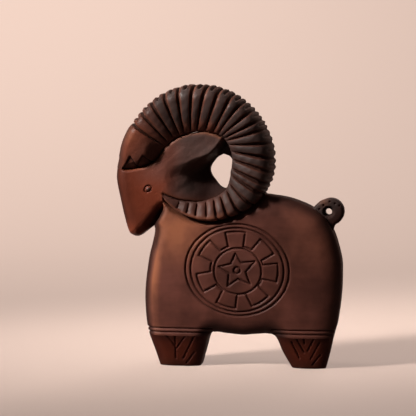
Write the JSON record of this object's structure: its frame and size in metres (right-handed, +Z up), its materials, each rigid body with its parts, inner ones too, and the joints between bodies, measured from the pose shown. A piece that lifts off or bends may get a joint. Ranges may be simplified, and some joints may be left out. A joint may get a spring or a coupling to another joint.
{
  "type": "carved wooden goat figurine",
  "caption": "Flat-bodied carved goat ornament with large curled ribbed horns, broad hooves, an engraved flank and a small pierced tail loop; stands on a desk or shelf.",
  "frame": {"origin": "on the standing surface, below the centre of the figure's bounding box", "axes": "+Z up, -X towards the head, -Y towards the animal's left side"},
  "size_m": [0.12, 0.0376, 0.1488],
  "materials": {
    "stained_wood": "satin red-brown stain",
    "horn_wood": "satin dark stain",
    "hoof_wood": "satin dark red-brown stain",
    "eye_wood": "polished dark stain",
    "dowel_wood": "bare"
  },
  "bodies": {
    "root": {"body": "stained_wood", "head": "stained_wood", "left_horn": "horn_wood", "right_horn": "horn_wood", "tail_loop": "stained_wood", "front_hoof": "hoof_wood", "rear_hoof": "hoof_wood", "left_eye": "eye_wood", "right_eye": "eye_wood", "horn_dowel_upper": "dowel_wood", "horn_dowel_rear": "dowel_wood", "front_hoof_dowel_front": "dowel_wood", "front_hoof_dowel_rear": "dowel_wood", "rear_hoof_dowel_front": "dowel_wood", "rear_hoof_dowel_rear": "dowel_wood"}
  },
  "joints": []
}
